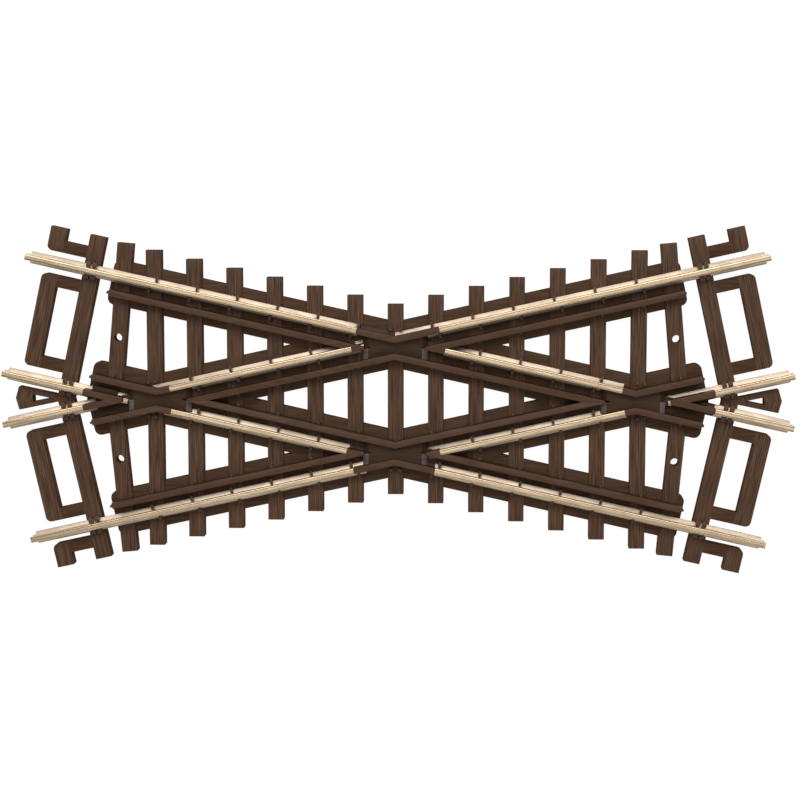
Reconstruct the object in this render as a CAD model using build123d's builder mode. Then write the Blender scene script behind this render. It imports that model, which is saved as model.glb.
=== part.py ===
"""HO scale 25 degree diamond crossing: two straight tracks that cross on one plastic tie base.

Frame: X runs along the crossing's long axis, Y across it, Z up from the underside of the ties.
Track "A" falls towards +X, track "B" rises towards +X. A point on a track is given by s, the
distance along the track from its middle, and t, the distance to the left of its centre line.
"""
from build123d import *
import math
import os

# ---- driving dimensions, mm -------------------------------------------------------------------
GAUGE = 16.5                    # between the running rails' inner faces
CROSSING_ANGLE = 25.0           # between the two tracks
TRACK_LENGTH = 113.6            # rail end to rail end

HEAD_WIDTH = 0.9                # rail section
BASE_WIDTH = 1.8
RAIL_HEIGHT = 2.1
WEB_WIDTH = 0.45
FOOT_EDGE = 0.2                 # thickness at the edge of the rail foot
FOOT_HEIGHT = 0.4               # thickness of the rail foot beside the web
HEAD_HEIGHT = 0.7
HEAD_CHAMFER = 0.1
FOOT_CLIP = (0.45, 0.6)         # length of the foot's notches at the rail ends, inside and outside
TONGUE_HEIGHT = 0.95            # height of a rail where its head is milled off under a frog

FLANGEWAY = 1.5                 # gap between a running rail and its check rail
FLANGEWAY_DEPTH = 1.1           # rail top down to the raised floor inside the frogs
CHECK_LENGTH = 87.7             # over the ends of the check and wing rails
CHECK_TONGUE = (0.3, 0.35)      # length and width of the small tongue on each of those ends

TIE_HEIGHT = 2.0
TIE_WIDTH = 2.25
TIE_PITCH = 5.86
TIES_EACH_SIDE = 6              # straight ties on each side of the middle one
TIE_REACH = 13.9                # half the length of the middle tie
BED_LENGTH = 88.4
BED_HEIGHT = 1.7                # webs that join the ties under the rails
BED_INNER = 4.5
BED_OUTER = 11.05
WING_BED_INNER = 4.05           # the webs are wider under the wing rails, from this s on
WING_BED_START = 33.0
BED_CORNER = 1.0

SLANT_TIE_WIDTH = 2.3
SLANT_TIE_INNER = (41.0, 3.0)   # centre line of the last tie of the base
SLANT_TIE_OUTER = (39.25, 22.7)
NAIL_HOLE = (40.5, 8.95)
NAIL_HOLE_DIAMETER = 1.15

END_TIE_START = 46.1            # s of the end tie's inner edge
END_TIE_WIDTH = 2.35
END_TIE_REACH = 13.8
RING_START = 51.95
RING_END = 54.3
RING_HALF_WIDTH = 6.9
RING_HOLE_HALF_WIDTH = 5.2
HOOK_INNER = 10.3
HOOK_OUTER = 12.0
HOOK_START = 51.85
HOOK_END = 54.3
END_TIE_CORNER = 0.8
WEDGE_ROOT = 48.0               # wedge between the two tracks' ends, on the X axis
WEDGE_SHOULDER = 55.3
WEDGE_TIP = 55.8
WEDGE_HALF_WIDTH = 1.72
WEDGE_ROOT_HALF_WIDTH = 0.2
WEDGE_HOLE = (50.5, 53.25)
WEDGE_HOLE_HALF_WIDTH = 0.55

SPIKE_LENGTH = 0.38             # moulded spike heads beside the rails
SPIKE_REACH = 0.35              # how far a spike stands outside the rail foot
SPIKE_HEIGHT = 0.8
SPIKE_STAGGER = 0.6             # opposite spikes are this far either side of the tie's middle
SPIKE_CLEARANCE = 1.65          # least distance from a spike to the middle of a crossing rail
END_SPIKE_LENGTH = 0.65
END_SPIKE_STAGGER = 0.45
LONE_SPIKES = ((0.65, 10.25), (35.0, 2.6), (36.05, 2.45), (41.2, 3.35))

STRAP_WIDTH = 1.2               # jumper straps under the base
STRAP_THICKNESS = 0.25
STRAP_GROOVE_CLEARANCE = 0.05
LOW_STRAP_BOTTOM = 0.3
HIGH_STRAP_BOTTOM = 0.8
PIN_DIAMETER = 0.7
STRAP_END_MARGIN = 0.5
OUTER_PIN = 10.5                # s of the pins that join straps and rails
CLOSURE_NEAR_PIN = 8.0
CLOSURE_FAR_PIN = 29.5
POINT_PIN = 43.3

FROG_SEAM = 12.5                # s where a frog insert meets the long check rails
ACUTE_FLOOR = (30.5, 38.2)      # x range of the raised floor in the acute frogs
WING_END = 32.6                 # s where the wing rails run out under that floor
OBTUSE_FLOOR = 3.9
FLOOR_RAMP = 0.8
NOSE_FOOT_END = 40.4            # s where the feet of the acute noses' bars end
NOSE_TIP_X = 39.7               # blunt ends of the acute noses, of the diamond's points
V_TIP_X = 30.3                  # and of the obtuse points
OBTUSE_TIP_X = 4.5
TIP_WIDTH = 0.8
FOOT_COVER_WIDTH = 0.65         # plastic lips over the feet of two rails
FOOT_COVER_HEIGHT = 0.7

# ---- worked out from them ---------------------------------------------------------------------
HALF_ANGLE = CROSSING_ANGLE / 2
SIN = math.sin(math.radians(HALF_ANGLE))
COS = math.cos(math.radians(HALF_ANGLE))
TAN = math.tan(math.radians(HALF_ANGLE))
TRACK_A = -HALF_ANGLE
TRACK_B = HALF_ANGLE
RAIL_T = (GAUGE + HEAD_WIDTH) / 2
CHECK_T = RAIL_T - HEAD_WIDTH - FLANGEWAY
FLANGEWAY_T = (RAIL_T + CHECK_T) / 2
RAIL_END = TRACK_LENGTH / 2
CHECK_RAIL_END = CHECK_LENGTH / 2
RAIL_TOP = TIE_HEIGHT + RAIL_HEIGHT
FLOOR_TOP = RAIL_TOP - FLANGEWAY_DEPTH
FOOT_TOP = TIE_HEIGHT + FOOT_HEIGHT
END_TIE_END = END_TIE_START + END_TIE_WIDTH

# Lengths of rail whose full section shows, and how far each rail's milled tongue runs on under
# the frog inserts: (track, side, head start and end, tongue start and end, tongue left and right)
WIDE = BASE_WIDTH / 2
NARROW = HEAD_WIDTH / 2
RAILS = {
    "outer_rail_nw": (TRACK_A, 1, -RAIL_END, -7.6, -RAIL_END, -7.45, WIDE, WIDE),
    "outer_rail_ne": (TRACK_B, 1, 8.47, RAIL_END, 1.6, RAIL_END, WIDE, WIDE),
    "outer_rail_sw": (TRACK_B, -1, -RAIL_END, -8.04, -RAIL_END, -6.4, WIDE, WIDE),
    "outer_rail_se": (TRACK_A, -1, 7.8, RAIL_END, 7.7, RAIL_END, WIDE, WIDE),
    "closure_rail_nw": (TRACK_B, 1, -31.65, -4.45, -34.3, -2.7, WIDE, WIDE),
    "closure_rail_ne": (TRACK_A, 1, 5.43, 31.65, 5.3, 31.8, WIDE, WIDE),
    "closure_rail_sw": (TRACK_A, -1, -31.47, -5.23, -32.6, -5.0, WIDE, WIDE),
    "closure_rail_se": (TRACK_B, -1, 4.75, 32.05, 2.9, 32.2, WIDE, WIDE),
    "point_rail_west_upper": (TRACK_A, -1, -RAIL_END, -44.6, -RAIL_END, -38.1, WIDE, NARROW),
    "point_rail_west_lower": (TRACK_B, 1, -RAIL_END, -44.6, -RAIL_END, -42.9, WIDE, WIDE),
    "point_rail_east_upper": (TRACK_B, -1, 45.2, RAIL_END, 38.4, RAIL_END, WIDE, NARROW),
    "point_rail_east_lower": (TRACK_A, 1, 45.2, RAIL_END, 42.9, RAIL_END, NARROW, NARROW),
}

# Plastic lips on the left of a rail, over its foot: (track, side, start, end)
FOOT_COVERS = {
    "acute_frog_west": (TRACK_A, -1, -43.6, -39.8),
    "obtuse_frog_north": (TRACK_B, 1, -4.45, -3.9),
}


def track_plane(track, height):
    """Horizontal plane whose local axes are s and t of one track."""
    angle = math.radians(track)
    return Plane(
        origin=(0, 0, height),
        x_dir=(math.cos(angle), math.sin(angle), 0),
        z_dir=(0, 0, 1),
    )


def section_plane(track, s):
    """Vertical plane across one track at s, with local axes t and Z."""
    angle = math.radians(track)
    along = Vector(math.cos(angle), math.sin(angle), 0)
    return Plane(
        origin=along * s,
        x_dir=(-math.sin(angle), math.cos(angle), 0),
        z_dir=along,
    )


def other_track_t(track, x, t):
    """t on the other track, where the line t of this track passes x."""
    return t + 2 * x * SIN * (1 if track > 0 else -1)


def rail_section(track, s, t):
    """Sketch of the flat-bottomed rail section on the tie tops at s, t."""
    half_head = HEAD_WIDTH / 2
    half_base = BASE_WIDTH / 2
    half_web = WEB_WIDTH / 2
    head_bottom = RAIL_HEIGHT - HEAD_HEIGHT
    right_side = [
        (0, 0),
        (half_base, 0),
        (half_base, FOOT_EDGE),
        (half_web, FOOT_HEIGHT),
        (half_web, head_bottom),
        (half_head, head_bottom + HEAD_CHAMFER),
        (half_head, RAIL_HEIGHT - HEAD_CHAMFER),
        (half_head - HEAD_CHAMFER, RAIL_HEIGHT),
        (0, RAIL_HEIGHT),
    ]
    with BuildSketch(section_plane(track, s)) as section:
        with BuildLine():
            Polyline([(t + u, TIE_HEIGHT + v) for u, v in right_side])
            Polyline([(t - u, TIE_HEIGHT + v) for u, v in right_side])
        make_face()
    return section.sketch


def tongue_section(track, s, t, left, right):
    """Sketch of a rail with its head milled off; its foot is left on a side that is wide enough."""
    outlines = []
    for direction, width in ((1, left), (-1, right)):
        if width > HEAD_WIDTH / 2:
            side = [(0, 0), (width, 0), (width, FOOT_EDGE), (WEB_WIDTH / 2, FOOT_HEIGHT)]
            side += [(WEB_WIDTH / 2, TONGUE_HEIGHT), (0, TONGUE_HEIGHT)]
        else:
            side = [(0, 0), (width, 0), (width, TONGUE_HEIGHT), (0, TONGUE_HEIGHT)]
        outlines.append([(t + direction * u, TIE_HEIGHT + v) for u, v in side])
    with BuildSketch(section_plane(track, s)) as section:
        with BuildLine():
            for outline in outlines:
                Polyline(outline)
        make_face()
    return section.sketch


def add_moulded_bar(track, t, start, end, has_foot):
    """Plastic bar as wide as a rail head, on a foot like the rail's or straight from the ties."""
    half_head = HEAD_WIDTH / 2
    half_base = BASE_WIDTH / 2
    foot_slope = (FOOT_HEIGHT - FOOT_EDGE) / (half_base - WEB_WIDTH / 2)
    right_side = [(0, 0), (half_head, 0), (half_head, RAIL_HEIGHT), (0, RAIL_HEIGHT)]
    if has_foot:
        right_side[1:2] = [
            (half_base, 0),
            (half_base, FOOT_EDGE),
            (half_head, FOOT_EDGE + foot_slope * (half_base - half_head)),
        ]
    with BuildSketch(section_plane(track, start)) as section:
        with BuildLine():
            Polyline([(t + u, TIE_HEIGHT + v) for u, v in right_side])
            Polyline([(t - u, TIE_HEIGHT + v) for u, v in right_side])
        make_face()
    extrude(section.sketch, amount=end - start)


def add_check_bar(track, t, start, end):
    """Check rail between two values of s, with a small tongue on an end that stands free."""
    add_moulded_bar(track, t, start, end, has_foot=False)
    for tip in (start, end):
        if abs(tip) == CHECK_RAIL_END:
            with BuildSketch(track_plane(track, TIE_HEIGHT)) as tongue:
                with Locations((tip + math.copysign(CHECK_TONGUE[0] / 2, tip), t)):
                    Rectangle(*CHECK_TONGUE)
            extrude(tongue.sketch, amount=RAIL_HEIGHT)


def cut_flangeways():
    """Clear all four flangeways above the feet of the bars."""
    for track in (TRACK_A, TRACK_B):
        with BuildSketch(track_plane(track, FOOT_TOP)) as flangeways:
            with Locations((0, FLANGEWAY_T), (0, -FLANGEWAY_T)):
                Rectangle(2 * TRACK_LENGTH, FLANGEWAY)
        extrude(flangeways.sketch, amount=2 * RAIL_HEIGHT, mode=Mode.SUBTRACT)


def take_out_rails():
    """Seats for the metal rails in the insert being built."""
    for rail in rails.values():
        add(rail, mode=Mode.SUBTRACT)


def clip_foot(track, t, end):
    """Notch the foot on both sides at a rail end, so that a rail joiner slides on."""
    tip = end * RAIL_END
    inner_clip, outer_clip = FOOT_CLIP
    with BuildSketch(track_plane(track, TIE_HEIGHT)) as corners:
        for side in (-1, 1):
            with BuildLine():
                Polyline(
                    (tip, t + side * HEAD_WIDTH / 2),
                    (tip, t + side * BASE_WIDTH / 2),
                    (tip - end * outer_clip, t + side * BASE_WIDTH / 2),
                    (tip - end * inner_clip, t + side * HEAD_WIDTH / 2),
                    close=True,
                )
            make_face()
    extrude(corners.sketch, amount=FOOT_HEIGHT, mode=Mode.SUBTRACT)


def finish(part, name):
    """Label a finished piece and write its STEP file."""
    part.label = name
    export_step(part, f"parts/{name}.step")


os.makedirs("parts", exist_ok=True)

# ---- metal rails ------------------------------------------------------------------------------
rails = {}
for name, (track, side, head_start, head_end, start, end, left, right) in RAILS.items():
    with BuildPart() as rail:
        t = side * RAIL_T
        extrude(rail_section(track, head_start, t), amount=head_end - head_start)
        if start < head_start:
            extrude(tongue_section(track, start, t, left, right), amount=head_start - start)
        if end > head_end:
            extrude(tongue_section(track, head_end, t, left, right), amount=end - head_end)
        for tip in (start, end):
            if abs(tip) == RAIL_END:
                clip_foot(track, t, math.copysign(1, tip))
    rails[name] = rail.part
    finish(rail.part, name)

# ---- jumper straps and their pins -------------------------------------------------------------
# Each running line has three rails. A strap under the obtuse frog joins the outer rail and the
# closure rail, and one under the acute frog joins the closure rail and the point rail.
LINES = {
    "north_a": (TRACK_A, 1, 1),
    "north_b": (TRACK_B, 1, -1),
    "south_a": (TRACK_A, -1, -1),
    "south_b": (TRACK_B, -1, 1),
}
STRAP_BOTTOM = {TRACK_A: LOW_STRAP_BOTTOM, TRACK_B: HIGH_STRAP_BOTTOM}
straps = []
pins = []
for name, (track, side, towards_acute) in LINES.items():
    spans = {
        "obtuse": (-OUTER_PIN * towards_acute, CLOSURE_NEAR_PIN * towards_acute),
        "acute": (CLOSURE_FAR_PIN * towards_acute, POINT_PIN * towards_acute),
    }
    for frog, (first_pin, last_pin) in spans.items():
        straps.append((f"jumper_strap_{name}_{frog}", track, side * RAIL_T, first_pin, last_pin))
        pins.append((track, side * RAIL_T, first_pin))
        pins.append((track, side * RAIL_T, last_pin))

for name, track, t, first_pin, last_pin in straps:
    length = abs(last_pin - first_pin) + 2 * STRAP_END_MARGIN
    with BuildPart() as strap:
        with BuildSketch(track_plane(track, STRAP_BOTTOM[track])):
            with Locations(((first_pin + last_pin) / 2, t)):
                SlotOverall(length, STRAP_WIDTH)
        extrude(amount=STRAP_THICKNESS)
    finish(strap.part, name)

with BuildPart() as strap_pins:
    for track, t, s in pins:
        strap_top = STRAP_BOTTOM[track] + STRAP_THICKNESS
        with BuildSketch(track_plane(track, strap_top)):
            with Locations((s, t)):
                Circle(PIN_DIAMETER / 2)
        extrude(amount=TIE_HEIGHT - strap_top)
finish(strap_pins.part, "strap_pins")


# ---- tie base ---------------------------------------------------------------------------------
def spike_sites():
    """Spikes of the base: (track, s, t of the bar, side of the bar) for every one that is clear."""
    sites = []
    bars = [
        (track, t, side)
        for track in (TRACK_A, TRACK_B)
        for t, sides in (
            (RAIL_T, (-1, 1)),
            (-RAIL_T, (-1, 1)),
            (CHECK_T, (-1,)),
            (-CHECK_T, (1,)),
        )
        for side in sides
    ]
    for step in range(-TIES_EACH_SIDE, TIES_EACH_SIDE + 1):
        for track, t, side in bars:
            lean = -1 if track > 0 else 1
            x = step * TIE_PITCH + SPIKE_STAGGER * side * lean
            angle = math.radians(track)
            spike_t = t + side * BASE_WIDTH / 2
            s = (x + spike_t * math.sin(angle)) / math.cos(angle)
            crossing_t = abs(other_track_t(track, x, spike_t))
            nearest_bar = min(abs(crossing_t - RAIL_T), abs(crossing_t - CHECK_T))
            if nearest_bar > SPIKE_CLEARANCE:
                sites.append((track, s, t, side))
    return sites


def add_spikes(sites, length):
    """Moulded spikes: a post beside each bar and, beside a rail, a head that laps over its foot."""
    half_head = HEAD_WIDTH / 2
    for track in (TRACK_A, TRACK_B):
        own = [site for site in sites if site[0] == track]
        with BuildSketch(track_plane(track, TIE_HEIGHT)) as posts:
            for _, s, t, side in own:
                foot = BASE_WIDTH / 2 if abs(t) == RAIL_T else half_head
                with Locations((s, t + side * (foot + SPIKE_REACH / 2))):
                    Rectangle(length, SPIKE_REACH)
        extrude(posts.sketch, amount=SPIKE_HEIGHT)
        head_reach = BASE_WIDTH / 2 + SPIKE_REACH - half_head
        with BuildSketch(track_plane(track, FOOT_TOP)) as heads:
            for _, s, t, side in own:
                if abs(t) == RAIL_T:
                    with Locations((s, t + side * (half_head + head_reach / 2))):
                        Rectangle(length, head_reach)
        extrude(heads.sketch, amount=SPIKE_HEIGHT - FOOT_HEIGHT)


with BuildPart() as tie_base:
    with BuildSketch(Plane.XY):
        for step in range(-TIES_EACH_SIDE, TIES_EACH_SIDE + 1):
            tie_x = step * TIE_PITCH
            with Locations((tie_x, 0)):
                Rectangle(TIE_WIDTH, 2 * (TIE_REACH + abs(tie_x) * TAN))
    extrude(amount=TIE_HEIGHT)
    for x_side in (-1, 1):
        for y_side in (-1, 1):
            inner = Vector(x_side * SLANT_TIE_INNER[0], y_side * SLANT_TIE_INNER[1])
            outer = Vector(x_side * SLANT_TIE_OUTER[0], y_side * SLANT_TIE_OUTER[1])
            middle = (inner + outer) * 0.5
            along = outer - inner
            with BuildSketch(Plane(origin=middle, x_dir=along, z_dir=(0, 0, 1))):
                Rectangle(along.length, SLANT_TIE_WIDTH)
            extrude(amount=TIE_HEIGHT)
    for track in (TRACK_A, TRACK_B):
        with BuildSketch(track_plane(track, 0)):
            bed_middle = (BED_INNER + BED_OUTER) / 2
            with Locations((0, bed_middle), (0, -bed_middle)):
                RectangleRounded(BED_LENGTH, BED_OUTER - BED_INNER, BED_CORNER)
            wing_length = BED_LENGTH / 2 - WING_BED_START
            wing_width = CHECK_T - WING_BED_INNER
            wing_s = WING_BED_START + wing_length / 2
            wing_t = math.copysign(WING_BED_INNER + wing_width / 2, track)
            with Locations((-wing_s, wing_t), (wing_s, -wing_t)):
                RectangleRounded(wing_length, wing_width, BED_CORNER)
        extrude(amount=BED_HEIGHT)
    add_spikes(spike_sites(), SPIKE_LENGTH)
    with BuildSketch(Plane.XY.offset(TIE_HEIGHT)):
        for x, y in LONE_SPIKES:
            with GridLocations(2 * x, 2 * y, 2, 2):
                Rectangle(SPIKE_LENGTH, SPIKE_LENGTH)
    extrude(amount=SPIKE_HEIGHT)
    with BuildSketch(Plane.XY):
        with GridLocations(2 * NAIL_HOLE[0], 2 * NAIL_HOLE[1], 2, 2):
            Circle(NAIL_HOLE_DIAMETER / 2)
    extrude(amount=TIE_HEIGHT, mode=Mode.SUBTRACT)
    for _, track, t, first_pin, last_pin in straps:
        length = abs(last_pin - first_pin) + 2 * STRAP_END_MARGIN
        groove = 2 * STRAP_GROOVE_CLEARANCE
        with BuildSketch(track_plane(track, 0)):
            with Locations(((first_pin + last_pin) / 2, t)):
                SlotOverall(length + groove, STRAP_WIDTH + groove)
        extrude(amount=STRAP_BOTTOM[track] + STRAP_THICKNESS, mode=Mode.SUBTRACT)
    for track, t, s in pins:
        with BuildSketch(track_plane(track, 0)):
            with Locations((s, t)):
                Circle(PIN_DIAMETER / 2)
        extrude(amount=TIE_HEIGHT, mode=Mode.SUBTRACT)
finish(tie_base.part, "tie_base")


# ---- end ties ---------------------------------------------------------------------------------
def end_tie_half(end, track):
    """One track's share of an end moulding: its last tie, ring and hook, up to the X axis."""
    outside = end * (1 if track > 0 else -1)
    ring_inner = END_TIE_START + END_TIE_CORNER
    with BuildPart() as half:
        with BuildSketch(track_plane(track, 0)):
            with Locations((end * (ring_inner + RING_END) / 2, 0)):
                RectangleRounded(RING_END - ring_inner, 2 * RING_HALF_WIDTH, END_TIE_CORNER)
            with Locations((end * (END_TIE_END + RING_START) / 2, 0)):
                Rectangle(RING_START - END_TIE_END, 2 * RING_HOLE_HALF_WIDTH, mode=Mode.SUBTRACT)
            with Locations((end * (END_TIE_START + END_TIE_END) / 2, 0)):
                Rectangle(END_TIE_WIDTH, 2 * END_TIE_REACH)
            with BuildLine():
                FilletPolyline(
                    (end * END_TIE_START, outside * HOOK_INNER),
                    (end * HOOK_END, outside * HOOK_INNER),
                    (end * HOOK_END, outside * END_TIE_REACH),
                    radius=END_TIE_CORNER,
                )
                Polyline(
                    (end * HOOK_END, outside * END_TIE_REACH),
                    (end * HOOK_START, outside * END_TIE_REACH),
                    (end * HOOK_START, outside * HOOK_OUTER),
                    (end * END_TIE_START, outside * HOOK_OUTER),
                    (end * END_TIE_START, outside * HOOK_INNER),
                )
            make_face()
        extrude(amount=TIE_HEIGHT)
        split(bisect_by=Plane.XZ, keep=Keep.BOTTOM if outside > 0 else Keep.TOP)
    return half.part


def end_spike_sites(end):
    """Twin spikes on both sides of the four rails that cross an end moulding."""
    middle = end * (END_TIE_START + END_TIE_END) / 2
    return [
        (track, middle + shift, t, side)
        for track in (TRACK_A, TRACK_B)
        for t in (RAIL_T, -RAIL_T)
        for side in (-1, 1)
        for shift in (-END_SPIKE_STAGGER, END_SPIKE_STAGGER)
    ]


for end, name in ((-1, "west_end_ties"), (1, "east_end_ties")):
    halves = [end_tie_half(end, track) for track in (TRACK_A, TRACK_B)]
    with BuildPart() as end_ties:
        for half in halves:
            add(half)
        with BuildSketch(Plane.XY):
            with BuildLine():
                Polyline(
                    (end * WEDGE_ROOT, WEDGE_ROOT_HALF_WIDTH),
                    (end * WEDGE_SHOULDER, WEDGE_HALF_WIDTH),
                    (end * WEDGE_TIP, 0),
                    (end * WEDGE_SHOULDER, -WEDGE_HALF_WIDTH),
                    (end * WEDGE_ROOT, -WEDGE_ROOT_HALF_WIDTH),
                    close=True,
                )
            make_face()
            with BuildLine():
                Polyline(
                    (end * WEDGE_HOLE[0], 0),
                    (end * WEDGE_HOLE[1], WEDGE_HOLE_HALF_WIDTH),
                    (end * WEDGE_HOLE[1], -WEDGE_HOLE_HALF_WIDTH),
                    close=True,
                )
            make_face(mode=Mode.SUBTRACT)
        extrude(amount=TIE_HEIGHT)
        add_spikes(end_spike_sites(end), END_SPIKE_LENGTH)
    finish(end_ties.part, name)


# ---- check rails ------------------------------------------------------------------------------
# Long check rails stand beside the outer rails and meet the obtuse frogs at a seam.
LONG_CHECKS = {
    "check_rail_nw": (TRACK_A, CHECK_T, -CHECK_RAIL_END, -FROG_SEAM),
    "check_rail_ne": (TRACK_B, CHECK_T, FROG_SEAM, CHECK_RAIL_END),
    "check_rail_sw": (TRACK_B, -CHECK_T, -CHECK_RAIL_END, -FROG_SEAM),
    "check_rail_se": (TRACK_A, -CHECK_T, FROG_SEAM, CHECK_RAIL_END),
}
for name, (track, t, start, end) in LONG_CHECKS.items():
    with BuildPart() as check_rail:
        add_check_bar(track, t, start, end)
    finish(check_rail.part, name)

# The bent check rails close the diamond inside the four frogs.
bent_check_rails = {}
for side, name in ((1, "bent_check_rail_north"), (-1, "bent_check_rail_south")):
    west_track = TRACK_B if side > 0 else TRACK_A
    tip_s = (-V_TIP_X + CHECK_T * SIN) / COS
    with BuildPart() as bent_check_rail:
        add_check_bar(west_track, side * CHECK_T, tip_s - BASE_WIDTH, BASE_WIDTH)
        split(bisect_by=Plane.YZ.offset(-V_TIP_X), keep=Keep.TOP)
        split(bisect_by=Plane.YZ, keep=Keep.BOTTOM)
        split(bisect_by=Plane.XZ, keep=Keep.BOTTOM if side > 0 else Keep.TOP)
        mirror(about=Plane.YZ)
    bent_check_rails[side] = bent_check_rail.part
    finish(bent_check_rail.part, name)


# ---- frog inserts -----------------------------------------------------------------------------
def raised_floor(x_start, x_end, y_middle, half_y):
    """Floor slab that carries the wheel flanges over a frog, with a ramp at each end."""
    with BuildPart() as floor:
        for track in (TRACK_A, TRACK_B):
            with BuildSketch(track_plane(track, TIE_HEIGHT)):
                with Locations((0, FLANGEWAY_T), (0, -FLANGEWAY_T)):
                    Rectangle(TRACK_LENGTH, FLANGEWAY)
            extrude(amount=FLOOR_TOP - TIE_HEIGHT)
        with BuildSketch(Plane.XZ.offset(-y_middle)):
            with BuildLine():
                Polyline(
                    (x_start - FLOOR_RAMP, TIE_HEIGHT),
                    (x_start - FLOOR_RAMP, FOOT_TOP),
                    (x_start, FLOOR_TOP),
                    (x_end, FLOOR_TOP),
                    (x_end + FLOOR_RAMP, FOOT_TOP),
                    (x_end + FLOOR_RAMP, TIE_HEIGHT),
                    close=True,
                )
            make_face()
        extrude(amount=half_y, both=True, mode=Mode.INTERSECT)
    return floor.part


def blunt_tips(x_start, x_end, y_middle):
    """Cut back the sharp ends of the noses between two X values."""
    with BuildSketch(Plane.XY.offset(FOOT_TOP)) as gap:
        with Locations(((x_start + x_end) / 2, y_middle)):
            Rectangle(x_end - x_start, TIP_WIDTH)
    extrude(gap.sketch, amount=RAIL_HEIGHT, mode=Mode.SUBTRACT)


def add_foot_cover(name):
    """The lip that some frogs have over a rail's foot."""
    if name in FOOT_COVERS:
        track, side, start, end = FOOT_COVERS[name]
        lip_t = side * RAIL_T + (HEAD_WIDTH + FOOT_COVER_WIDTH) / 2
        with BuildSketch(track_plane(track, TIE_HEIGHT)) as lip:
            with Locations(((start + end) / 2, lip_t)):
                Rectangle(end - start, FOOT_COVER_WIDTH)
        extrude(lip.sketch, amount=FOOT_COVER_HEIGHT)


for end, side_name in ((-1, "west"), (1, "east")):
    near, far = sorted((end * ACUTE_FLOOR[0], end * ACUTE_FLOOR[1]))
    floor = raised_floor(near, far, 0, RAIL_T / 2)
    point_a, point_b = ("upper", "lower") if end < 0 else ("lower", "upper")
    closure_a, closure_b = ("sw", "nw") if end < 0 else ("ne", "se")
    bars = (
        (TRACK_A, end, f"point_rail_{side_name}_{point_a}", f"closure_rail_{closure_a}"),
        (TRACK_B, -end, f"point_rail_{side_name}_{point_b}", f"closure_rail_{closure_b}"),
    )
    with BuildPart() as acute_frog:
        for track, t_side, point_rail, closure_rail in bars:
            head_limits = sorted(RAILS[point_rail][2:4] + RAILS[closure_rail][2:4])[1:3]
            foot_limits = sorted((max(head_limits, key=abs), end * NOSE_FOOT_END))
            add_moulded_bar(track, t_side * RAIL_T, *head_limits, has_foot=False)
            add_moulded_bar(track, t_side * RAIL_T, *foot_limits, has_foot=True)
            wing = sorted((end * CHECK_RAIL_END, end * WING_END))
            add_check_bar(track, t_side * CHECK_T, wing[0], wing[1])
        cut_flangeways()
        blunt_tips(*sorted((end * NOSE_TIP_X, end * ACUTE_FLOOR[0])), 0)
        add(floor)
        add_foot_cover(f"acute_frog_{side_name}")
        take_out_rails()
        for bent in bent_check_rails.values():
            add(bent, mode=Mode.SUBTRACT)
    finish(acute_frog.part, f"acute_frog_{side_name}")

for side, side_name in ((1, "north"), (-1, "south")):
    floor = raised_floor(-OBTUSE_FLOOR, OBTUSE_FLOOR, side * FLANGEWAY_T / COS, FLANGEWAY_T / 2)
    west_track, east_track = (TRACK_A, TRACK_B) if side > 0 else (TRACK_B, TRACK_A)
    row = side_name[0]
    with BuildPart() as obtuse_frog:
        start = RAILS[f"outer_rail_{row}w"][3]
        end = RAILS[f"closure_rail_{row}e"][2]
        add_moulded_bar(west_track, side * RAIL_T, start, end, has_foot=True)
        start = RAILS[f"closure_rail_{row}w"][3]
        end = RAILS[f"outer_rail_{row}e"][2]
        add_moulded_bar(east_track, side * RAIL_T, start, end, has_foot=True)
        add_check_bar(west_track, side * CHECK_T, -FROG_SEAM, -OBTUSE_FLOOR)
        add_check_bar(east_track, side * CHECK_T, OBTUSE_FLOOR, FROG_SEAM)
        cut_flangeways()
        blunt_tips(-OBTUSE_TIP_X, OBTUSE_TIP_X, side * FLANGEWAY_T / COS)
        add(floor)
        add_foot_cover(f"obtuse_frog_{side_name}")
        take_out_rails()
        add(bent_check_rails[side], mode=Mode.SUBTRACT)
    finish(obtuse_frog.part, f"obtuse_frog_{side_name}")
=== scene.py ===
"""Looks of an HO scale 25 degree diamond crossing.

Brown moulded ties, frogs and check rails carry nickel silver rails. Every visible piece is a copy
of its CAD node with rounded edges, cut wood grain or crowned rail heads, so it keeps the CAD size.
"""
import bmesh
import bpy
import math
from mathutils import Matrix, Vector, noise


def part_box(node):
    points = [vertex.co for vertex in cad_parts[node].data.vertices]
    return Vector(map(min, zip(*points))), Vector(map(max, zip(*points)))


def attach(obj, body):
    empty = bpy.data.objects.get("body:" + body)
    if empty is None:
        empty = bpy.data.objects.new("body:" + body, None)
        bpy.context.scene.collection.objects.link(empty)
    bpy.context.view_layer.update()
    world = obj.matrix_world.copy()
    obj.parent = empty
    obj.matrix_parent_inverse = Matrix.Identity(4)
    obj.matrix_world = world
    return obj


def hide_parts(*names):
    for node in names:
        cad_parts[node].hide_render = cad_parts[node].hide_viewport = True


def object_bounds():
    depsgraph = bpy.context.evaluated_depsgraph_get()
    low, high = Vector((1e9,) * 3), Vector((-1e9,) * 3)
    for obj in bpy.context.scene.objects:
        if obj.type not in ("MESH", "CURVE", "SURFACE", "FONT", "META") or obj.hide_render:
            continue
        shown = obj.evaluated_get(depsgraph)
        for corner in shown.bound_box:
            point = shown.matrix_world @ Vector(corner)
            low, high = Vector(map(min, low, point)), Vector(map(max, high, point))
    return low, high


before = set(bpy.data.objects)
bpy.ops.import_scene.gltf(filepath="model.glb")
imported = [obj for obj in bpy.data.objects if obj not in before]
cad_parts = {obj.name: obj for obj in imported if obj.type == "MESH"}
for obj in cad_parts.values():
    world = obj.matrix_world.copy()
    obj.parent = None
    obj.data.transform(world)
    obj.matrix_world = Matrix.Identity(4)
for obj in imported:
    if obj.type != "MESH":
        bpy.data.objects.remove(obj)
cad_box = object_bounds()
scene = bpy.context.scene

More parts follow.
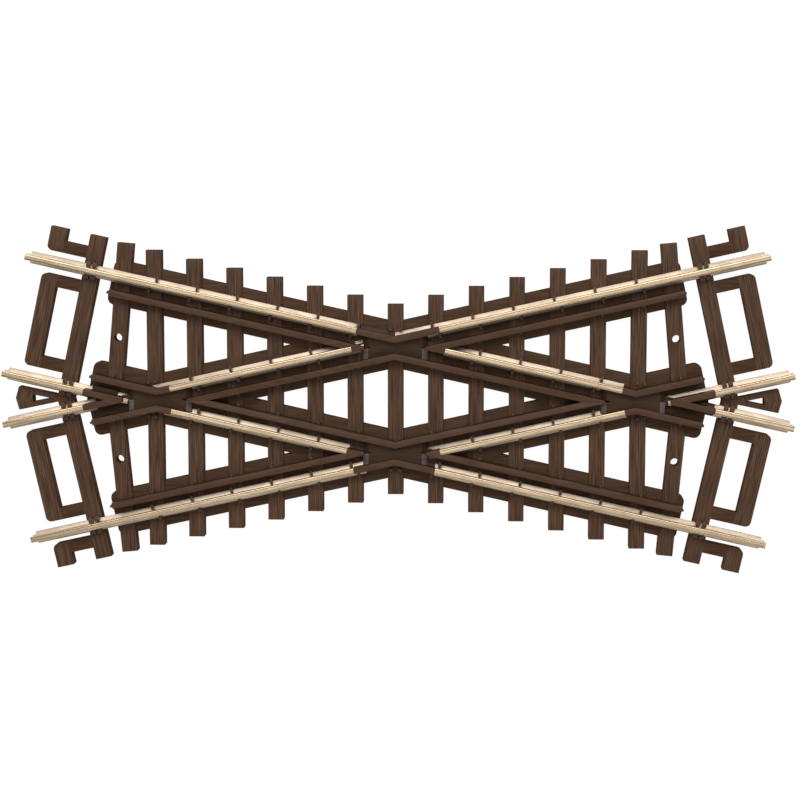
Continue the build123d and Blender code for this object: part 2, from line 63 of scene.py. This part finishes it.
MM = 0.001
HALF_ANGLE = math.radians(12.5)         # each track's turn away from the X axis
RAIL_TOP = cad_box[1][2]
TIE_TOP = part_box("outer_rail_nw")[0].z  # the rails stand on the ties
BED_TOP = 1.7 * MM
FOOT_TOP = TIE_TOP + 0.6 * MM           # the rails' feet, duller than their heads, lie below this
BAR_TOPS = RAIL_TOP - 0.3 * MM          # the tops of frogs and check rails lie above this
LEVEL_MARGIN = 0.01 * MM                # faces this near a level count as on it
TIE_PITCH = 5.86 * MM
STRAIGHT_TIES_END = 37.5 * MM           # the slanted ties of the base lie past this X
SLANT = 0.0885                          # change of X over Y along a slanted tie
LINKS = (48.45 * MM, 51.95 * MM)        # reach along a track of the bars that link its end ties
WEDGE_SIDE = 2.2 * MM                   # the wedge between two track ends lies inside this Y
OBTUSE_MIDDLE = 7.68 * MM               # Y of the middle of an obtuse frog's flangeways

WELD = 0.002 * MM
FLAT = math.radians(1)
SHARP = math.radians(30)
TIE_EDGE_RADIUS = 0.09 * MM
TIE_EDGES_FROM = 0.9 * MM               # lower edges of the ties stay sharp
BAR_EDGE_RADIUS = 0.07 * MM
RAIL_EDGE_RADIUS = 0.055 * MM
STRAP_EDGE_RADIUS = 0.03 * MM
LEAST_LENGTH = 2.5                      # of an edge that is rounded, in radii

CROWN = 0.025 * MM                      # fall of the rail head from its middle to its sides
CROWN_POWER = 6                         # a high power keeps the middle flat
CROWN_CUTS = 8
HEAD_SIDE = 0.3 * MM                    # the crown fades out this far below the rail top
GRAIN_DEPTH = 0.07 * MM
GRAIN_SIZE = (0.35 * MM, 7 * MM)        # of a streak, across and along the grain
GRAIN_GAIN = 1.6
GRAIN_CUTS = (0.2 * MM, 1.3 * MM)       # spacing of the cuts that carry it, across and along


# ---- mesh helpers -----------------------------------------------------------------------------
def cad_mesh(node):
    """The mesh of a CAD node, welded and with each of its flat faces in one piece."""
    mesh = bmesh.new()
    mesh.from_mesh(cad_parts[node].data)
    bmesh.ops.remove_doubles(mesh, verts=mesh.verts, dist=WELD)
    bmesh.ops.dissolve_limit(mesh, angle_limit=FLAT, verts=mesh.verts[:], edges=mesh.edges[:])
    return mesh


def round_edges(mesh, radius, lowest=-1.0, material=-1):
    """Round the outward edges that lie above a height and are long enough to take it.

    With material=-1, a rounding keeps the material of the faces beside it.
    """
    edges = []
    for edge in mesh.edges:
        if len(edge.link_faces) != 2 or not edge.is_convex:
            continue
        if edge.calc_face_angle() < SHARP or edge.calc_length() < LEAST_LENGTH * radius:
            continue
        if min(vert.co.z for vert in edge.verts) > lowest:
            edges.append(edge)
    bmesh.ops.bevel(
        mesh,
        geom=edges,
        offset=radius,
        offset_type='OFFSET',
        segments=2,
        profile=0.5,
        affect='EDGES',
        clamp_overlap=True,
        material=material,
    )
    mesh.normal_update()


def flat_top(mesh, height):
    """The upward faces at one height."""
    near = LEVEL_MARGIN / 2
    return [
        face for face in mesh.faces
        if face.normal.z > 0.999 and abs(face.calc_center_median().z - height) < near
    ]


def slice_faces(mesh, faces, origin, normal, offsets):
    """Cut some faces by parallel planes, offset from an origin along their normal.

    Every face that they become is returned.
    """
    geom = list(faces)
    geom += {edge for face in faces for edge in face.edges}
    geom += {vert for face in faces for vert in face.verts}
    for offset in offsets:
        cut = bmesh.ops.bisect_plane(
            mesh, geom=geom, dist=WELD / 2, plane_co=origin + normal * offset, plane_no=normal
        )
        geom = cut["geom"]
    return [item for item in geom if isinstance(item, bmesh.types.BMFace)]


def steps_between(low, high, spacing):
    """Evenly spaced values strictly between two limits."""
    count = max(1, round((high - low) / spacing))
    return [low + (high - low) * index / count for index in range(1, count)]


def make_piece(name, mesh, materials, slot, *nodes):
    """Turn a finished bmesh into a piece that stands for its CAD nodes."""
    bmesh.ops.dissolve_degenerate(mesh, dist=WELD / 4, edges=mesh.edges[:])
    data = bpy.data.meshes.new(name)
    mesh.to_mesh(data)
    mesh.free()
    for attribute in ("custom_normal", "sharp_edge", "sharp_face"):
        if attribute in data.attributes:
            data.attributes.remove(data.attributes[attribute])
    for polygon in data.polygons:
        polygon.use_smooth = True
    data.set_sharp_from_angle(angle=SHARP)
    for material in materials:
        data.materials.append(material)
    piece = bpy.data.objects.new(name, data)
    scene.collection.objects.link(piece)
    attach(piece, "root")
    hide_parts(*nodes)


# ---- materials --------------------------------------------------------------------------------
class Surface:
    """A Principled material under construction, with its few kinds of procedural detail."""

    def __init__(self, name, roughness, metallic=0.0, specular=0.5):
        self.material = bpy.data.materials.new(name)
        self.material.use_nodes = True
        self.nodes = self.material.node_tree.nodes
        self.links = self.material.node_tree.links
        self.shader = self.nodes["Principled BSDF"]
        self.shader.inputs["Roughness"].default_value = roughness
        self.shader.inputs["Metallic"].default_value = metallic
        self.shader.inputs["Specular IOR Level"].default_value = specular
        self.position = self.nodes.new("ShaderNodeTexCoord").outputs["Object"]

    def pattern(self, size, turn=0.0, detail=4.0, distortion=0.0):
        """Noise between 0 and 1 whose features have this size along the turned axes."""
        mapping = self.nodes.new("ShaderNodeMapping")
        mapping.vector_type = 'TEXTURE'
        mapping.inputs["Rotation"].default_value = (0, 0, turn)
        mapping.inputs["Scale"].default_value = size
        texture = self.nodes.new("ShaderNodeTexNoise")
        texture.inputs["Scale"].default_value = 1.0
        texture.inputs["Detail"].default_value = detail
        texture.inputs["Distortion"].default_value = distortion
        self.links.new(self.position, mapping.inputs["Vector"])
        self.links.new(mapping.outputs["Vector"], texture.inputs["Vector"])
        return texture.outputs["Fac"]

    def ramp(self, value, *stops):
        """Colours over a value: each stop is (place, (red, green, blue))."""
        node = self.nodes.new("ShaderNodeValToRGB")
        points = node.color_ramp.elements
        while len(points) < len(stops):
            points.new(0.5)
        for point, (place, colour) in zip(points, stops):
            point.position = place
            point.color = (*colour, 1)
        self.links.new(value, node.inputs["Fac"])
        return node.outputs["Color"]

    def scale(self, value, low, high):
        """Spread the middle of a noise's range, where most of it lies, over another range."""
        node = self.nodes.new("ShaderNodeMapRange")
        node.inputs["From Min"].default_value = 0.3
        node.inputs["From Max"].default_value = 0.7
        node.inputs["To Min"].default_value = low
        node.inputs["To Max"].default_value = high
        self.links.new(value, node.inputs["Value"])
        return node.outputs["Result"]

    def blend(self, mask, colour_a, colour_b):
        """Mix two colours by a mask."""
        node = self.nodes.new("ShaderNodeMix")
        node.data_type = 'RGBA'
        self.links.new(mask, node.inputs["Factor"])
        self.links.new(colour_a, node.inputs["A"])
        self.links.new(colour_b, node.inputs["B"])
        return node.outputs["Result"]

    def bump(self, *layers):
        """Stack bumps: each layer is (height value, depth in metres)."""
        normal = None
        for height, depth in layers:
            node = self.nodes.new("ShaderNodeBump")
            node.inputs["Distance"].default_value = depth
            node.inputs["Strength"].default_value = 1.0
            self.links.new(height, node.inputs["Height"])
            if normal:
                self.links.new(normal, node.inputs["Normal"])
            normal = node.outputs["Normal"]
        self.links.new(normal, self.shader.inputs["Normal"])

    def set(self, **values):
        """Link values to the shader's sockets and return the finished material."""
        for name, value in values.items():
            self.links.new(value, self.shader.inputs[name.replace("_", " ")])
        return self.material


def tie_plastic(name, turn):
    """Brown plastic moulded as creosoted timber: streaks along the grain, which is local Y."""
    surface = Surface(name, roughness=0.55, specular=0.18)
    streaks = surface.pattern((0.16 * MM, 5 * MM, 1 * MM), turn, detail=5, distortion=0.3)
    patches = surface.pattern((0.5 * MM, 2.2 * MM, 3 * MM), turn, detail=3)
    speckle = surface.pattern((0.12 * MM, 0.12 * MM, 0.12 * MM), detail=3)
    timber = surface.ramp(
        streaks,
        (0.32, (0.036, 0.022, 0.012)),
        (0.50, (0.094, 0.056, 0.032)),
        (0.68, (0.155, 0.096, 0.060)),
    )
    warm = surface.ramp(streaks, (0.32, (0.062, 0.026, 0.012)), (0.68, (0.165, 0.078, 0.042)))
    colour = surface.blend(surface.scale(patches, 0, 1), timber, warm)
    surface.bump((streaks, 0.03 * MM), (speckle, 0.006 * MM))
    return surface.set(Base_Color=colour, Roughness=surface.scale(speckle, 0.45, 0.62))


def smooth_plastic(name, dark, light, turn=0.0, gloss=0.0):
    """Brown moulded plastic with a fine satin texture and faint flow lines."""
    surface = Surface(name, roughness=0.42, specular=0.2 + gloss)
    speckle = surface.pattern((0.15 * MM, 0.15 * MM, 0.15 * MM), detail=3)
    flow = surface.pattern((4 * MM, 0.35 * MM, 1 * MM), turn, detail=3)
    colour = surface.ramp(flow, (0.3, dark), (0.7, light))
    surface.bump((flow, 0.010 * MM), (speckle, 0.005 * MM))
    return surface.set(Base_Color=colour, Roughness=surface.scale(speckle, 0.36 - gloss, 0.52 - gloss))


def nickel_silver(name, turn, smooth, rough, tint=(1, 1, 1)):
    """Drawn nickel silver rail: fine lines along the rail, light tarnish and handling marks."""
    def tinted(colour):
        return tuple(part * share for part, share in zip(colour, tint))

    surface = Surface(name, roughness=0.34, metallic=1.0)
    lines = surface.pattern((6 * MM, 0.05 * MM, 0.05 * MM), turn, detail=4)
    tarnish = surface.pattern((2.5 * MM, 0.5 * MM, 0.5 * MM), turn, detail=4)
    clean = surface.ramp(
        lines,
        (0.30, tinted((0.66, 0.50, 0.33))),
        (0.70, tinted((0.78, 0.62, 0.42))),
    )
    dull = surface.ramp(
        lines,
        (0.30, tinted((0.58, 0.41, 0.25))),
        (0.70, tinted((0.70, 0.53, 0.35))),
    )
    colour = surface.blend(surface.scale(tarnish, 0, 1), clean, dull)
    surface.bump((lines, 0.004 * MM))
    return surface.set(Base_Color=colour, Roughness=surface.scale(tarnish, smooth, rough))


def bronze(name):
    """Bright phosphor bronze strip."""
    surface = Surface(name, roughness=0.35, metallic=1.0)
    lines = surface.pattern((0.06 * MM, 3 * MM, 0.06 * MM), HALF_ANGLE, detail=3)
    stain = surface.pattern((1.2 * MM, 1.2 * MM, 1.2 * MM), detail=4)
    clean = surface.ramp(lines, (0.3, (0.62, 0.34, 0.17)), (0.7, (0.75, 0.45, 0.25)))
    brown = surface.ramp(lines, (0.3, (0.40, 0.20, 0.10)), (0.7, (0.52, 0.28, 0.14)))
    colour = surface.blend(surface.scale(stain, 0, 1), clean, brown)
    surface.bump((lines, 0.004 * MM))
    return surface.set(Base_Color=colour, Roughness=surface.scale(stain, 0.28, 0.5))


TIMBER = tie_plastic("timber_moulding", 0.0)
TIMBER_A = tie_plastic("timber_moulding_a", -HALF_ANGLE)
TIMBER_B = tie_plastic("timber_moulding_b", HALF_ANGLE)
EDGE = smooth_plastic("tie_edge_moulding", (0.100, 0.050, 0.026), (0.150, 0.078, 0.044))
# BED is the tie plastic of the low bed. Its smooth texture is the moulding's own, and its darker brown
# is painted shade of the troughs.
BED = smooth_plastic("bed_moulding_painted_shade", (0.060, 0.029, 0.013), (0.108, 0.053, 0.026), gloss=-0.06)
SPIKE = smooth_plastic("spike_moulding", (0.085, 0.044, 0.026), (0.150, 0.080, 0.050), gloss=0.12)
WALL = smooth_plastic("tie_wall_moulding", (0.070, 0.036, 0.020), (0.110, 0.060, 0.034), gloss=-0.2)
TRIM = [EDGE, BED, SPIKE, WALL]
EDGE_INDEX, BED_INDEX, SPIKE_INDEX, WALL_INDEX = 1, 2, 3, 4     # in [timber, *TRIM]
OTHER_TIMBER_INDEX = 5                                          # after them, on the end ties
BAR_TOP = {
    -1: smooth_plastic("bar_top_moulding_a", (0.078, 0.039, 0.021), (0.124, 0.062, 0.035), -HALF_ANGLE),
    1: smooth_plastic("bar_top_moulding_b", (0.078, 0.039, 0.021), (0.124, 0.062, 0.035), HALF_ANGLE),
}
# FROG is the bar-top plastic darkened as painted shade, for the sides and flangeway floors of frogs and
# check rails.
FROG = smooth_plastic("frog_low_painted_shade", (0.044, 0.023, 0.010), (0.074, 0.038, 0.018))
# RAMP is a painted highlight, pale grey where the key light catches the ramps' southern halves.
RAMP = smooth_plastic("ramp_painted_highlight", (0.16, 0.125, 0.115), (0.24, 0.19, 0.175), gloss=0.1)
BAR_LOW_INDEX, RAMP_INDEX = 1, 2                                # in [bar top, FROG, RAMP]


def rail_metals(track, turn):
    """The metals of one track's rails: the polished head, and the duller, paler foot."""
    return [
        nickel_silver(f"nickel_silver_{track}", turn, 0.18, 0.28),
        nickel_silver(f"nickel_silver_foot_{track}", turn, 0.42, 0.52, tint=(0.96, 1.03, 1.18)),
    ]


METAL = {-1: rail_metals("a", -HALF_ANGLE), 1: rail_metals("b", HALF_ANGLE)}
HEAD_INDEX, FOOT_INDEX = 0, 1
BRONZE = bronze("phosphor_bronze")


# ---- rails ------------------------------------------------------------------------------------
def lie_of(mesh):
    """+1 or -1: whether the piece's longest edge rises or falls towards +X."""
    longest = max(mesh.edges, key=lambda edge: edge.calc_length())
    along = longest.verts[1].co - longest.verts[0].co
    return 1 if along.x * along.y > 0 else -1


def crown_head(mesh, lie):
    """Crown the top of a rail head, as rolled rail has it."""
    across = Vector((-math.sin(lie * HALF_ANGLE), math.cos(lie * HALF_ANGLE), 0))
    top = flat_top(mesh, RAIL_TOP)
    places = [vert.co.dot(across) for face in top for vert in face.verts]
    low, high = min(places), max(places)
    middle, half = (low + high) / 2, (high - low) / 2
    cuts = steps_between(low, high, (high - low) / CROWN_CUTS)
    slice_faces(mesh, top, Vector(), across, cuts)
    for vert in mesh.verts:
        depth = RAIL_TOP - vert.co.z
        if depth < HEAD_SIDE:
            side = min(1.0, abs(vert.co.dot(across) - middle) / half)
            vert.co.z -= CROWN * side ** CROWN_POWER * (1 - depth / HEAD_SIDE)


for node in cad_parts:
    if not node.startswith(("outer_rail", "closure_rail", "point_rail")):
        continue
    mesh = cad_mesh(node)
    lie = lie_of(mesh)
    round_edges(mesh, RAIL_EDGE_RADIUS)
    crown_head(mesh, lie)
    for face in mesh.faces:
        face.material_index = FOOT_INDEX if face.calc_center_median().z < FOOT_TOP else HEAD_INDEX
    make_piece(f"{node}_look", mesh, METAL[lie], "rail_metal", node)


# ---- ties -------------------------------------------------------------------------------------
def grain(mesh, faces, along, seed):
    """Cut shallow streaks of wood grain into a tie's top, whose outline stays as it is."""
    across = Vector((along.y, -along.x, 0))
    width, length = GRAIN_SIZE
    verts = {vert for face in faces for vert in face.verts}
    for direction, spacing in zip((across, along), GRAIN_CUTS):
        places = [vert.co.dot(direction) for vert in verts]
        cuts = steps_between(min(places), max(places), spacing)
        faces = slice_faces(mesh, faces, Vector(), direction, cuts)
    cut_faces = set(faces)
    for vert in {vert for face in faces for vert in face.verts}:
        if not cut_faces.issuperset(vert.link_faces):
            continue
        place = Vector((vert.co.dot(across) / width, vert.co.dot(along) / length, seed))
        vert.co.z -= GRAIN_DEPTH * min(1.0, abs(noise.noise(place)) * GRAIN_GAIN)


def slope_of(x, y):
    """Direction of the grain of a base tie at a place on it."""
    if abs(x) < STRAIGHT_TIES_END:
        return Vector((0, 1, 0))
    lean = -SLANT * math.copysign(1, x) * math.copysign(1, y)
    return Vector((lean, 1, 0)).normalized()


def tie_key(place):
    """Which tie of the base a place on a tie top belongs to.

    Straight ties are numbered from the middle, and slanted ones by side, far past those.
    """
    if abs(place.x) < STRAIGHT_TIES_END:
        return round(place.x / TIE_PITCH)
    return 100 * math.copysign(1, place.x) + math.copysign(1, place.y)


def shade_by_height(mesh):
    """Keep timber on the tie tops: spikes stand above them, and the bed and walls lie below. The bed's
    darker plastic is painted shade.
    """
    for face in mesh.faces:
        centre = face.calc_center_median()
        if centre.z > TIE_TOP + LEVEL_MARGIN:
            face.material_index = SPIKE_INDEX
        elif face.normal.z > 0.5 and centre.z < BED_TOP + LEVEL_MARGIN:
            face.material_index = BED_INDEX
        elif abs(face.normal.z) < 0.3:
            face.material_index = WALL_INDEX


def in_link(place):
    """Whether a place on an end moulding is on one of the bars that link its ties."""
    along_track = abs(place.x) * math.cos(HALF_ANGLE) + abs(place.y) * math.sin(HALF_ANGLE)
    return LINKS[0] < along_track < LINKS[1] and abs(place.y) > WEDGE_SIDE


mesh = cad_mesh("tie_base")
round_edges(mesh, TIE_EDGE_RADIUS, lowest=TIE_EDGES_FROM, material=EDGE_INDEX)
ties = {}
for face in flat_top(mesh, TIE_TOP):
    ties.setdefault(tie_key(face.calc_center_median()), []).append(face)
for key in sorted(ties):
    centre = ties[key][0].calc_center_median()
    grain(mesh, ties[key], slope_of(centre.x, centre.y), key)
shade_by_height(mesh)
make_piece("tie_base_look", mesh, [TIMBER, *TRIM], "tie_plastic", "tie_base")

for end, node in ((-1, "west_end_ties"), (1, "east_end_ties")):
    mesh = cad_mesh(node)
    round_edges(mesh, TIE_EDGE_RADIUS, lowest=TIE_EDGES_FROM, material=EDGE_INDEX)
    shade_by_height(mesh)
    tops = slice_faces(mesh, flat_top(mesh, TIE_TOP), Vector(), Vector((0, 1, 0)), [0.0])
    for side in (-1, 1):
        turn = side * end * HALF_ANGLE
        along = Vector((-math.sin(turn), math.cos(turn), 0))
        half = [face for face in tops if face.calc_center_median().y * side > 0]
        seed = end * 10 + side
        grain(mesh, half, along, seed)
    for face in mesh.faces:
        if face.material_index != 0:
            continue
        place = face.calc_center_median()
        # the link bars take the bed plastic and with it its painted shade
        if in_link(place):
            face.material_index = BED_INDEX
        elif place.y * end > 0:
            face.material_index = OTHER_TIMBER_INDEX
    make_piece(f"{node}_look", mesh, [TIMBER_A, *TRIM, TIMBER_B], "tie_plastic", node)


# ---- frogs and check rails --------------------------------------------------------------------
def frog_middle(node):
    """Y of the middle of a frog's flangeways."""
    return 0.0 if "acute" in node else math.copysign(OBTUSE_MIDDLE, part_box(node)[0].y)


def paint_ramp_highlights(mesh, middle):
    """Painted highlight: pale grey plastic on the southern half of each ramp, where the key light from
    the north catches it.
    """
    ramps = [face for face in mesh.faces if abs(face.normal.x) > 0.4 and face.normal.z > 0.4]
    for face in slice_faces(mesh, ramps, Vector((0, middle, 0)), Vector((0, 1, 0)), [0.0]):
        if face.calc_center_median().y < middle:
            face.material_index = RAMP_INDEX


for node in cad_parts:
    if "check_rail" not in node and "frog" not in node:
        continue
    mesh = cad_mesh(node)
    round_edges(mesh, BAR_EDGE_RADIUS)
    # faces below the bar tops take the darker frog plastic, painted shade
    for face in mesh.faces:
        if face.calc_center_median().z < BAR_TOPS:
            face.material_index = BAR_LOW_INDEX
    if "frog" in node:
        # the southern halves of the ramps get a painted highlight
        paint_ramp_highlights(mesh, frog_middle(node))
    make_piece(f"{node}_look", mesh, [BAR_TOP[lie_of(mesh)], FROG, RAMP], "frog_plastic", node)


# ---- jumpers under the base -------------------------------------------------------------------
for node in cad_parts:
    if "strap" not in node:
        continue
    mesh = cad_mesh(node)
    round_edges(mesh, STRAP_EDGE_RADIUS)
    make_piece(f"{node}_look", mesh, [BRONZE], "jumper_metal", node)


# ---- floor and light --------------------------------------------------------------------------
def softbox(name, place, size, power):
    """Rectangular studio light that faces the middle of the crossing."""
    data = bpy.data.lights.new(name, 'AREA')
    data.shape = 'RECTANGLE'
    data.size, data.size_y = size
    data.energy = power
    light = bpy.data.objects.new(name, data)
    light.location = place
    light.rotation_euler = (-Vector(place)).to_track_quat('-Z', 'Y').to_euler()
    scene.collection.objects.link(light)


def pale_floor():
    """White table top that glows, so that shadows on it stay faint."""
    reach = 3.0
    floor_mesh = bpy.data.meshes.new("floor")
    corners = [(-reach, -reach, 0), (reach, -reach, 0), (reach, reach, 0), (-reach, reach, 0)]
    floor_mesh.from_pydata(corners, [], [(0, 1, 2, 3)])
    floor = bpy.data.objects.new("floor", floor_mesh)
    scene.collection.objects.link(floor)
    surface = Surface("white_table", roughness=0.9, specular=0.0)
    surface.shader.inputs["Base Color"].default_value = (0.15, 0.15, 0.15, 1)
    surface.shader.inputs["Emission Color"].default_value = (1, 1, 1, 1)
    surface.shader.inputs["Emission Strength"].default_value = 0.96
    floor_mesh.materials.append(surface.material)


def studio_world():
    """Surroundings that are white at the horizon, like the floor, and dim above it."""
    world = bpy.data.worlds.new("studio")
    world.use_nodes = True
    nodes = world.node_tree.nodes
    links = world.node_tree.links
    coordinates = nodes.new("ShaderNodeTexCoord")
    direction = nodes.new("ShaderNodeSeparateXYZ")
    brightness = nodes.new("ShaderNodeMapRange")
    brightness.inputs["From Min"].default_value = 0.10
    brightness.inputs["From Max"].default_value = 0.16
    brightness.inputs["To Min"].default_value = 1.0
    brightness.inputs["To Max"].default_value = 0.16
    links.new(coordinates.outputs["Generated"], direction.inputs["Vector"])
    links.new(direction.outputs["Z"], brightness.inputs["Value"])
    links.new(brightness.outputs["Result"], nodes["Background"].inputs["Strength"])
    nodes["Background"].inputs["Color"].default_value = (1, 1, 1, 1)
    scene.world = world


pale_floor()
softbox("key_north", (0.0, 0.36, 0.54), (1.0, 0.34), 3.2)
softbox("fill_top", (0.0, -0.06, 0.70), (0.5, 0.20), 0.33)
softbox("fill_south", (0.0, -0.42, 0.50), (1.0, 0.34), 0.6)
studio_world()
scene.view_settings.view_transform = 'Standard'


# ---- camera -----------------------------------------------------------------------------------
# The camera looks almost straight down. It leans by small turns about X, Y and Z, round a point
# on the rail tops.
CAMERA_TURNS = (math.radians(6.383), math.radians(-2.672), math.radians(-0.261))
CAMERA_PLACE = (0.76 * MM, 0.198 * MM, 286.8 * MM)      # before those turns, from that point
LENS = 89.37                                            # mm
SENSOR = 36.0                                           # mm

camera_data = bpy.data.cameras.new("camera")
camera_data.sensor_width = SENSOR
camera_data.lens = LENS
camera = bpy.data.objects.new("camera", camera_data)
scene.collection.objects.link(camera)
placed = Matrix.Translation((0, 0, RAIL_TOP))
for angle, axis in zip(CAMERA_TURNS, "XYZ"):
    placed @= Matrix.Rotation(-angle, 4, axis)
camera.matrix_world = placed @ Matrix.Translation(CAMERA_PLACE)
scene.camera = camera
